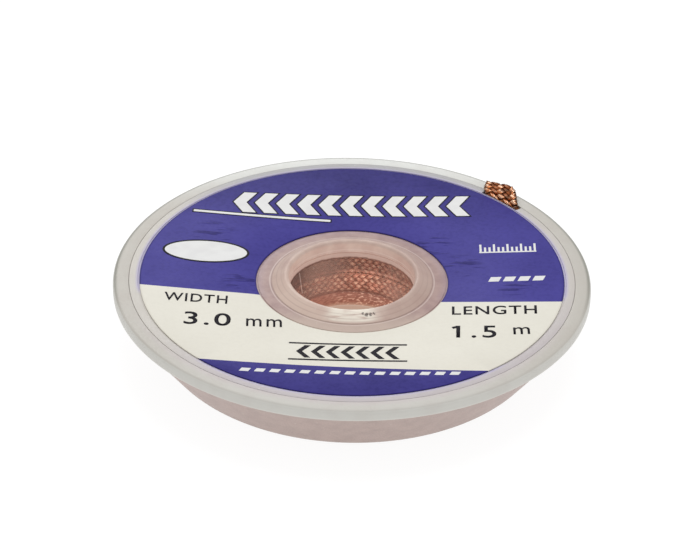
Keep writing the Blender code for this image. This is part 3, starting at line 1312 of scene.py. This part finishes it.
@dataclass
class Label:
    """Printed ring on the lid: blue and cream fields, plain sizes and generic shapes."""

    sizes: CaseSizes = SIZES
    turn: float = -2.4
    upper_line: float = -3.73 * MM
    lower_line: float = -17.6 * MM
    ink_rise: float = 0.020 * MM
    outline_width: float = 0.15 * MM
    oval_outline: float = 0.26 * MM
    lettering: tuple[Lettering, ...] = (
        Lettering("WIDTH", -20.16, -5.63, 6.81, 1.64, -0.2, 1.12, 0.010),
        Lettering("3.0", -17.76, -10.20, 4.97, 2.53, 0.5, 1.15, 0.008),
        Lettering("mm", -11.13, -9.95, 3.80, 1.57, 1.9, 1.2, 0.003),
        Lettering("LENGTH", 10.76, -6.84, 9.07, 1.72, -1.0, 1.12, 0.010),
        Lettering("1.5", 11.10, -11.54, 4.23, 2.42, -1.5, 1.2, 0.008),
        Lettering("m", 17.16, -11.06, 1.75, 1.40, 0.5, 1.0, 0.003),
    )
    rule: Row = Row("rule", 1, -10.3, 12.66, 0.0, 15.8, 0.70, degrees=-3.4, parts=16)
    white_rows: tuple[Row, ...] = (
        Row("long_tick", 5, 14.2, 6.6, 1.5, 0.24, 1.5),
        Row("short_tick_a", 4, 14.7, 6.3, 1.5, 0.24, 0.9),
        Row("short_tick_b", 4, 15.2, 6.3, 1.5, 0.24, 0.9),
        Row("scale_line", 1, 17.2, 5.75, 0.0, 6.3, 0.22, parts=8),
        Row("dash", 4, 15.4, 0.2, 1.6, 1.15, 0.9, 0.35),
        Row("stitch", 15, -11.0, -18.75, 1.55, 0.95, 0.62, 0.25, -2.4, bend=0.01),
    )
    dark_rows: tuple[Row, ...] = (
        Row("flag_of_1", 1, 11.02, -9.42, 0.0, 0.62, 0.40, degrees=24.0),
        Row("plait_upper", 7, -5.4, -13.98, 1.55, 0.62, 1.25, 0.9),
        Row("plait_lower", 7, -4.5, -15.22, 1.55, 0.62, 1.25, -0.9),
        Row("plait_edge_a", 1, -0.3, -12.95, 0.0, 12.4, 0.26, parts=12),
        Row("plait_edge_b", 1, -0.3, -16.25, 0.0, 12.4, 0.26, parts=12),
    )

    def build(self, blue: Material, cream: Material) -> Object:
        """Makes the film and splits it into its coloured fields.

        Args:
            blue: Material of the upper and lower fields.
            cream: Material of the band between them.

        Returns:
            The finished piece.
        """
        s = self.sizes
        inner, outer = s.label_height(s.label_inner), s.label_height(s.label_outer)
        corners = [Corner(s.label_inner, inner - s.label_thickness),
                   Corner(s.label_outer, outer - s.label_thickness),
                   Corner(s.label_outer, outer, 0.03 * MM, 2), Corner(s.label_inner, inner, 0.03 * MM, 2)]
        film = Bench.turned("label_film", corners)
        across = Matrix.Rotation(math.radians(self.turn), 3, "Z") @ Vector((0.0, 1.0, 0.0))
        for line in (self.upper_line, self.lower_line):
            place = across * line
            Bench.edit(film, lambda: bpy.ops.mesh.bisect(plane_co=place, plane_no=across))
        Bench.dress(film, blue, cream)
        for face in film.data.polygons:
            in_band = self.lower_line < face.center.dot(across) < self.upper_line
            face.material_index = 1 if in_band else 0
        Bench.smooth(film)
        return film

    def outlined(self, shape: Object, width: float) -> Object:
        """Insets a flat shape so that its border takes the second material slot.

        Args:
            shape: The flat shape.
            width: Width of the border.

        Returns:
            The same shape.
        """
        Bench.edit(shape, lambda: bpy.ops.mesh.inset(thickness=width))
        for face in shape.data.polygons:
            face.material_index = 0 if face.select else 1
        return shape

    def chevrons(self) -> list[Object]:
        """Row of outlined chevrons in the upper field.

        Returns:
            The chevrons.
        """
        count, pitch, length, height, lean = 11, 2.42 * MM, 1.80 * MM, 4.35 * MM, 2.44 * MM
        left, middle = -12.9 * MM, 15.35 * MM
        shapes = []
        for i in range(count):
            chevron = Bench.grid(f"chevron_{i}", 1, 2, lambda p: Vector(
                (p.x * length + lean * abs(p.y), p.y * height, 0.0)))
            Bench.place(chevron, left + i * pitch, middle)
            shapes.append(self.outlined(chevron, self.outline_width))
        return shapes

    def oval(self) -> Object:
        """White oval with a dark outline at the left.

        Returns:
            The oval.
        """
        half_length, half_height = 4.8 * MM, 2.3 * MM
        Bench.pick()
        bpy.ops.mesh.primitive_circle_add(vertices=72, radius=1.0, fill_type="NGON")
        oval = Bench.added("oval")
        Bench.reshape(oval, lambda p: Vector((p.x * half_length, p.y * half_height, 0.0)))
        self.outlined(oval, self.oval_outline)
        Bench.edit(oval, lambda: bpy.ops.mesh.poke(), select="")
        Bench.place(oval, -16.2 * MM, 4.85 * MM, 0.6)
        return oval

    def drape(self, ink: Object) -> None:
        """Lays flat shapes on the film's cone as a thin layer of ink.

        Args:
            ink: The joined shapes.
        """
        def onto_film(point: Vector) -> Vector:
            """Lifts a point on to the film."""
            radius = math.hypot(point.x, point.y)
            return Vector((point.x, point.y, self.sizes.label_height(radius) + self.ink_rise))

        Bench.reshape(ink, onto_film)
        skin = ink.modifiers.new("thickness", "SOLIDIFY")
        skin.thickness = self.ink_rise
        skin.offset = -1.0
        Bench.apply_all(ink)

    def print_on(self, white: Material, dark: Material) -> list[Object]:
        """Makes the white and the dark print.

        Args:
            white: White ink.
            dark: Dark ink.

        Returns:
            One piece for each ink.
        """
        rule, = self.rule.build()
        white_shapes = [*self.chevrons(), self.oval(), self.outlined(rule, self.outline_width)]
        dark_shapes = [mark.build() for mark in self.lettering]
        for shapes, rows in ((white_shapes, self.white_rows), (dark_shapes, self.dark_rows)):
            for row in rows:
                shapes += row.build()
        pieces = []
        for name, shapes, inks in (("print_white", white_shapes, (white, dark)),
                                   ("print_dark", dark_shapes, (dark,))):
            for shape in shapes:
                Bench.dress(shape, *inks)
            piece = Bench.join(name, shapes)
            self.drape(piece)
            pieces.append(piece)
        return pieces


# Braid


@dataclass(frozen=True)
class Plait:
    """Flattened tube of plaited wire, laid straight along X before it is bent to its place."""

    width: float = 2.88 * MM
    thickness: float = 0.45 * MM
    carriers: int = 12
    wires: int = 4
    wire: float = 0.10 * MM
    repeat: float = 0.8 * MM
    wave: float = 0.75
    samples: int = 4
    edge_width: float = 0.34 * MM
    CREST: ClassVar[float] = 0.55
    LIFT: ClassVar[str] = "lift"
    EDGE: ClassVar[str] = "edge"

    @property
    def core(self) -> float:
        """Radius of the tube's edge, to the middle of its carriers."""
        return self.thickness / 2 - (self.wave + self.CREST) * self.wire

    @property
    def half_flat(self) -> float:
        """Half the width of the tube's flat sides."""
        return self.width / 2 - self.thickness / 2

    @property
    def girth(self) -> float:
        """Length once round the tube."""
        return 4 * self.half_flat + 2 * math.pi * self.core

    def around(self, distance: float, lift: float) -> tuple[float, float, float]:
        """Point and outward angle at a distance round the tube.

        Args:
            distance: Distance from the left end of the upper flat side.
            lift: Height above the tube's middle surface.

        Returns:
            The point's Y and Z, and the outward angle, which grows with the distance.
        """
        flat, bend = 2 * self.half_flat, math.pi * self.core
        loops, rest = divmod(distance, self.girth)
        angle = 2 * math.pi * loops
        reach = self.core + lift
        if rest < flat:
            return rest - self.half_flat, reach, angle
        rest -= flat
        if rest < bend:
            turn = rest / self.core
            return self.half_flat + reach * math.sin(turn), reach * math.cos(turn), angle + turn
        rest -= bend
        if rest < flat:
            return self.half_flat - rest, -reach, angle + math.pi
        turn = (rest - flat) / self.core
        y = -self.half_flat - reach * math.sin(turn)
        return y, -reach * math.cos(turn), angle + math.pi + turn

    def section(self) -> Object:
        """Cross-section of one carrier: wires side by side, as a flat outline.

        Returns:
            The curve object.
        """
        half, wire = self.wires * self.wire / 2, self.wire
        points = [(-half, 0.0)]
        for k in range(self.wires):
            points.append((-half + (k + 0.5) * wire, self.CREST * wire))
            if k < self.wires - 1:
                points.append((-half + (k + 1) * wire, 0.22 * wire))
        points += [(half, 0.0), (half - 0.3 * wire, -0.5 * wire), (0.3 * wire - half, -0.5 * wire)]
        curve = bpy.data.curves.new("carrier_section", "CURVE")
        curve.dimensions = "2D"
        spline = curve.splines.new("POLY")
        spline.points.add(len(points) - 1)
        for point, (x, y) in zip(spline.points, points):
            point.co = (x, y, 0.0, 1.0)
        spline.use_cyclic_u = True
        return Bench.linked("carrier_section", curve)

    def strip(self, name: str, length: float) -> Object:
        """Makes a straight length of plait as a mesh.

        Args:
            name: The new object's name.
            length: Its length along X, which is rounded to a whole number of repeats.

        Returns:
            The mesh object, from X = 0 to the length.
        """
        repeats = round(length / self.repeat)
        length = repeats * self.repeat
        steps = repeats * self.samples
        spacing = self.girth / self.carriers
        curve = bpy.data.curves.new(name, "CURVE")
        curve.dimensions = "3D"
        curve.twist_mode = "Z_UP"
        curve.bevel_mode = "OBJECT"
        curve.bevel_object = self.section()
        curve.use_fill_caps = True
        for way in (1, -1):
            for carrier in range(self.carriers):
                spline = curve.splines.new("POLY")
                spline.points.add(steps)
                for k, point in enumerate(spline.points):
                    share = k / self.samples
                    wave = way * math.cos(math.pi * (carrier + way * share - 0.25))
                    distance = spacing * (carrier + way * share)
                    y, z, angle = self.around(distance, self.wave * self.wire * wave)
                    point.co = (length * k / steps, y, z, 1.0)
                    point.tilt = -angle
        strip = Bench.meshed(Bench.linked(name, curve))
        Bench.remove(curve.bevel_object)
        self.mark(strip, length)
        return strip

    def mark(self, obj: Object, length: float) -> None:
        """Stores what the copper finish reads, while the plait still lies straight.

        Args:
            obj: The straight plait.
            length: Its length.
        """
        lift, edge = [], []
        for vertex in obj.data.vertices:
            across = abs(vertex.co.y)
            reach = math.hypot(max(0.0, across - self.half_flat), vertex.co.z)
            lift.append((reach - self.core) / self.wire)
            nearest = min(self.width / 2 - across, length - vertex.co.x)
            edge.append(1.0 - min(1.0, max(0.0, nearest) / self.edge_width))
        for name, values in ((self.LIFT, lift), (self.EDGE, edge)):
            obj.data.attributes.new(name, "FLOAT", "POINT").data.foreach_set("value", values)


@dataclass
class Braid:
    """Wound braid in two courses, with its inner turns plaited in full, and its free end."""

    sizes: CaseSizes = SIZES
    plait: Plait = Plait()
    end_plait: Plait = Plait(carriers=10, wire=0.11 * MM, repeat=0.95 * MM, samples=5)
    turns: int = 8
    groove: float = 0.35 * MM
    coil_gap: float = 0.45 * MM
    lower_outer: float = 19.18 * MM
    upper_turn_drop: float = 0.30 * MM

    def edges(self) -> tuple[list[Vector], list[Vector]]:
        """Left and right edge of the free end's upper face, from inside the coil outwards.

        Each row of the table holds a radius and a height, and for the left and the right edge how far
        it lies out from them in mm, its angle in degrees, and how far it lies above them in mm.

        Returns:
            The points of the left and the right edge.
        """
        s = self.sizes
        coil = s.flank_inner_radius(s.coil_middle) - self.coil_gap
        notch = s.lid_radius - s.notch_depth
        rim_face_lit = s.rim_top + self.plait.thickness
        under_lid = s.bed_outer_z - s.plate_wall - 0.40 * MM
        table = (
            (coil, s.coil_top, (-1.70, 26.0, -0.70), (-0.40, 19.6, -0.70)),
            (coil, s.coil_top, (-1.05, 34.0, 0.15), (0.50, 27.0, 0.15)),
            (notch, under_lid, (-1.30, 42.9, 0.0), (-0.50, 34.3, 0.0)),
            (notch, under_lid, (0.05, 49.6, 0.04), (0.10, 37.3, 0.0)),
            (notch, s.rim_top, (0.16, 50.4, -0.65), (0.34, 37.7, -0.65)),
            (notch, s.rim_top, (0.20, 50.9, 0.0), (0.42, 38.1, 0.0)),
            (notch, rim_face_lit, (0.50, 51.6, -0.04), (0.62, 38.8, -0.04)),
            (s.seat_radius, rim_face_lit, (0.25, 52.3, 0.08), (0.50, 41.2, 0.12)),
            (s.rim_radius, rim_face_lit, (-0.95, 52.8, 0.10), (-0.30, 43.8, 0.24)),
            (s.rim_radius, rim_face_lit, (-0.70, 53.0, 0.08), (0.13, 45.9, 0.32)),
        )

        def point(radius: float, height: float, out: float, degrees: float, up: float) -> Vector:
            """Turns a row's numbers into a point."""
            reach, angle = radius + out * MM, math.radians(degrees)
            return Vector((reach * math.cos(angle), reach * math.sin(angle), height + up * MM))

        return ([point(radius, height, *left) for radius, height, left, _ in table],
                [point(radius, height, *right) for radius, height, _, right in table])

    def end_corners(self, inner: float, outer: float, height: float, inwards: float) -> list[Corner]:
        """Corners across one end of a course: a crest for each turn and a groove between turns.

        Args:
            inner: Radius where the first turn starts.
            outer: Radius where the last one ends.
            height: Height of the crests.
            inwards: Which way the grooves go: 1 up or -1 down.

        Returns:
            The corners, from the inner radius outwards.
        """
        pitch = (outer - inner) / self.turns
        half = 0.5 * self.plait.thickness
        corners = []
        for turn in range(self.turns):
            start = inner + turn * pitch
            for radius in (start + half, start + pitch - half):
                corners.append(Corner(radius, height, 0.08 * MM, 2))
            if turn < self.turns - 1:
                corners.append(Corner(start + pitch, height + inwards * self.groove))
        return corners

    def coil(self, copper: Material) -> Object:
        """Makes the turns behind the plaited inner ones, as two turned courses in one piece.

        Args:
            copper: Its material.

        Returns:
            The finished piece.
        """
        s = self.sizes
        thick = self.plait.thickness
        lower_inner = s.dish_sleeve + s.seat_gap + thick
        upper_inner = s.lid_sleeve + s.seat_gap + thick
        lower_outer, upper_outer = self.lower_outer, s.flank_inner_radius(s.coil_middle) - self.coil_gap
        bottom = self.end_corners(lower_inner, lower_outer, s.coil_foot, 1)
        top = self.end_corners(upper_inner, upper_outer, s.coil_top, -1)
        corners = [
            Corner(lower_inner, s.coil_foot + self.groove), *bottom,
            Corner(lower_outer, s.coil_foot + self.groove, 0.1 * MM),
            Corner(lower_outer, s.coil_middle - self.groove, 0.1 * MM),
            Corner(upper_outer, s.coil_middle + self.groove, 0.1 * MM),
            Corner(upper_outer, s.coil_top - self.groove, 0.1 * MM), *reversed(top),
            Corner(upper_inner, s.coil_top - self.groove),
            Corner(upper_inner, s.coil_middle - s.seat_gap),
            Corner(lower_inner, s.coil_middle - s.seat_gap),
        ]
        coil = Bench.turned("wound_turns", corners)
        Bench.smooth(coil, 50.0)
        Bench.dress(coil, copper)
        return coil

    def inner_turn(self, name: str, face: float, foot: float, copper: Material) -> Object:
        """Bends a length of plait into the innermost turn of a course.

        Args:
            name: The new object's name.
            face: Radius of its inner face.
            foot: Height of its lower edge.
            copper: Its material.

        Returns:
            The finished piece.
        """
        middle = face + self.plait.thickness / 2
        turn = self.plait.strip(name, 2 * math.pi * middle)
        length = max(vertex.co.x for vertex in turn.data.vertices)
        height = foot + self.plait.width / 2

        def bend(point: Vector) -> Vector:
            """Bends a point of the straight plait round the axis."""
            angle = 2 * math.pi * point.x / length
            radius = middle - point.z
            return Vector((radius * math.cos(angle), radius * math.sin(angle), height + point.y))

        Bench.reshape(turn, bend)
        return self.finish(turn, copper)

    def finish(self, obj: Object, copper: Material) -> Object:
        """Turns a plait's faces outwards, shades it smooth and dresses it.

        Args:
            obj: The object.
            copper: Its material.

        Returns:
            The finished piece.
        """
        Bench.edit(obj, lambda: bpy.ops.mesh.normals_make_consistent(inside=False))
        Bench.smooth(obj, 60.0)
        Bench.dress(obj, copper)
        return obj

    def edge_point(self, edge: Sequence[Vector], share: float) -> Vector:
        """Point of a smooth curve through an edge's stations.

        Args:
            edge: The edge's points.
            share: Place along it, in stations.

        Returns:
            The point.
        """
        i = min(int(share), len(edge) - 2)
        t = share - i
        a, b, c, d = (edge[max(0, min(len(edge) - 1, i + k))] for k in (-1, 0, 1, 2))
        squared, cubed = 2 * a - 5 * b + 4 * c - d, 3 * b - a - 3 * c + d
        return 0.5 * (2 * b + (c - a) * t + squared * t ** 2 + cubed * t ** 3)

    def build(self, copper: Material, seen_through: Material, wound: Material) -> list[Object]:
        """Makes the braid's pieces.

        Args:
            copper: Material of the free end.
            seen_through: Material of the turns that show through the plastic.
            wound: Material of the other turns.

        Returns:
            The wound turns, the lower and the upper inner turn, and the free end.
        """
        s = self.sizes
        lower_face, upper_face = s.dish_sleeve + s.seat_gap, s.lid_sleeve + s.seat_gap
        upper_foot = s.coil_middle - self.upper_turn_drop
        return [self.coil(wound),
                self.inner_turn("lower_inner_turn", lower_face, s.coil_foot, seen_through),
                self.inner_turn("upper_inner_turn", upper_face, upper_foot, seen_through),
                self.free_end(copper)]

    def free_end(self, copper: Material) -> Object:
        """Makes the free end: plait that leaves the coil and passes over the rim.

        Args:
            copper: Its material.

        Returns:
            The finished piece.
        """
        lefts, rights = self.edges()
        middles = [(a + b) / 2 for a, b in zip(lefts, rights)]
        runs = [0.0]
        for a, b in zip(middles, middles[1:]):
            runs.append(runs[-1] + (b - a).length)
        strip = self.end_plait.strip("free_end", runs[-1])
        length = max(vertex.co.x for vertex in strip.data.vertices)
        thick, width = self.plait.thickness, self.plait.width

        def lay(point: Vector) -> Vector:
            """Lays a point of the straight plait between the two edges."""
            run = point.x / length * runs[-1]
            i = max(k for k in range(len(runs) - 1) if runs[k] <= run + 1e-9) if run > 0 else 0
            share = i + (run - runs[i]) / (runs[i + 1] - runs[i])
            left, right = self.edge_point(lefts, share), self.edge_point(rights, share)
            ahead = sum((self.edge_point(edge, share + 0.05) - self.edge_point(edge, share - 0.05)
                         for edge in (lefts, rights)), Vector((0.0, 0.0, 0.0)))
            across = right - left
            up = across.cross(ahead).normalized()
            return (left + right) / 2 + across * (point.y / width) + up * (point.z - thick / 2)

        Bench.reshape(strip, lay)
        return self.finish(strip, copper)


# Studio


@dataclass
class Studio:
    """Pale floor, soft light, and the camera at the photograph's viewing angle."""

    lens: float = 139.68
    distance: float = 300.0 * MM
    camera_elevation: float = 33.31
    aim_lift: float = 1.2198
    aim_pan: float = 0.0525
    roll: float = 1.05
    focus_height: float = 0.74 * MM
    floor_half: float = 1.0
    world_strength: float = 0.70
    floor_light: float = 0.90
    floor_bore_shade_and_reflection: Colour = (0.48, 0.30, 0.215)

    def camera(self) -> None:
        """Adds the camera."""
        elevation = math.radians(self.camera_elevation)
        place = Vector((0.0, -math.cos(elevation), math.sin(elevation))) * self.distance
        place.z += self.focus_height
        tilt = math.radians(90.0 - self.camera_elevation + self.aim_lift)
        aim = Euler((tilt, 0.0, math.radians(self.aim_pan))).to_matrix().to_4x4()
        data = bpy.data.cameras.new("camera")
        data.lens = self.lens
        data.sensor_width = 36.0
        data.clip_start = 0.01
        camera = Bench.linked("camera", data)
        roll = Matrix.Rotation(math.radians(self.roll), 4, "Z")
        camera.matrix_world = Matrix.Translation(place) @ aim @ roll
        bpy.context.scene.camera = camera

    def floor(self) -> None:
        """Adds the floor, which is dimmer and warm where it shows inside the bore: painted shade with a
        painted copper reflection.
        """
        Bench.pick()
        bpy.ops.mesh.primitive_plane_add(size=2 * self.floor_half, location=(0, 0, -0.02 * MM))
        floor = Bench.added("floor")
        sheet = NodeSheet("pale_floor")
        # Painted shade and a painted copper reflection, in a ring on the floor under the bore.
        bore_shade_ring = sheet.radius.rise(4.4 * MM, 5.7 * MM) * sheet.radius.rise(8.5 * MM, 6.5 * MM)
        glow = sheet.mix(bore_shade_ring, WHITE, self.floor_bore_shade_and_reflection)
        sheet.set(Base_Color=(0.16, 0.16, 0.16), Roughness=0.9, Specular_IOR_Level=0.0,
                  Emission_Color=glow, Emission_Strength=self.floor_light)
        Bench.dress(floor, sheet.material)

    def light(self, name: str, place: Vector, size: float, power: float) -> None:
        """Adds a soft square light that faces the object.

        Args:
            name: Its name.
            place: Its place.
            size: Length of its side.
            power: Its power in watts.
        """
        data = bpy.data.lights.new(name, "AREA")
        data.size = size
        data.energy = power
        lamp = Bench.linked(name, data)
        lamp.location = place
        lamp.rotation_euler = (-place).to_track_quat("-Z", "Y").to_euler()

    def world(self) -> None:
        """Adds the white surroundings and the plain view transform."""
        world = bpy.data.worlds.new("white_surroundings")
        world.use_nodes = True
        backdrop = world.node_tree.nodes["Background"]
        backdrop.inputs["Color"].default_value = (1.0, 1.0, 1.0, 1.0)
        backdrop.inputs["Strength"].default_value = self.world_strength
        bpy.context.scene.world = world
        bpy.context.scene.view_settings.view_transform = "Standard"

    def build(self) -> None:
        """Sets the whole studio up."""
        self.camera()
        self.floor()
        self.world()
        self.light("overhead", Vector((0.05, 0.10, 0.60)), 0.35, 1.25)
        self.light("back_strip", Vector((-0.10, 0.55, 0.35)), 0.25, 0.6)


def main() -> None:
    """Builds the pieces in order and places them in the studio."""
    logging.basicConfig(level=logging.INFO, format="%(name)s: %(message)s")
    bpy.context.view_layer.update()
    Studio().build()

    copper = CopperWire("copper_wire").build()
    # A brighter copper that glows: painted light for the turns seen through the bore's wall.
    seen_through = CopperWire("glowing_copper_behind_plastic", bright=linear(228, 166, 142),
                              mid=linear(182, 120, 100), dull=linear(104, 60, 46), glow=0.50,
                              edge_shade=0.0).build()
    wound = CopperWire("wound_copper", Pattern.WOVEN).build()
    blue = PrintedFilm("blue_film", linear(72, 67, 146), linear(40, 35, 100)).build()
    cream = PrintedFilm("cream_film", linear(225, 222, 211), linear(213, 209, 197)).build()
    white_ink = Ink("white_ink", linear(224, 224, 223), linear(210, 209, 210)).build()
    dark_ink = Ink("dark_ink", linear(26, 24, 30), linear(46, 43, 50)).build()
    label = Label()
    pieces = [(Dish().build(FrostedPlastic(CasePart.DISH).build()), "case_plastic", "case_dish"),
              (Lid().build(FrostedPlastic(CasePart.LID).build()), "case_plastic", "case_lid"),
              (label.build(blue, cream), "printed_label", "label")]
    pieces += [(piece, "copper_braid", "braid") for piece in Braid().build(copper, seen_through, wound)]
    pieces += [(piece, "printed_label", "label") for piece in label.print_on(white_ink, dark_ink)]
    for piece, slot, node in pieces:
        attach(piece, "root")
        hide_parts(node)
        triangles = sum(len(face.vertices) - 2 for face in piece.data.polygons)
        LOG.info("%s stands for %s, %d triangles", piece.name, node, triangles)


if __name__ == "__main__":
    main()
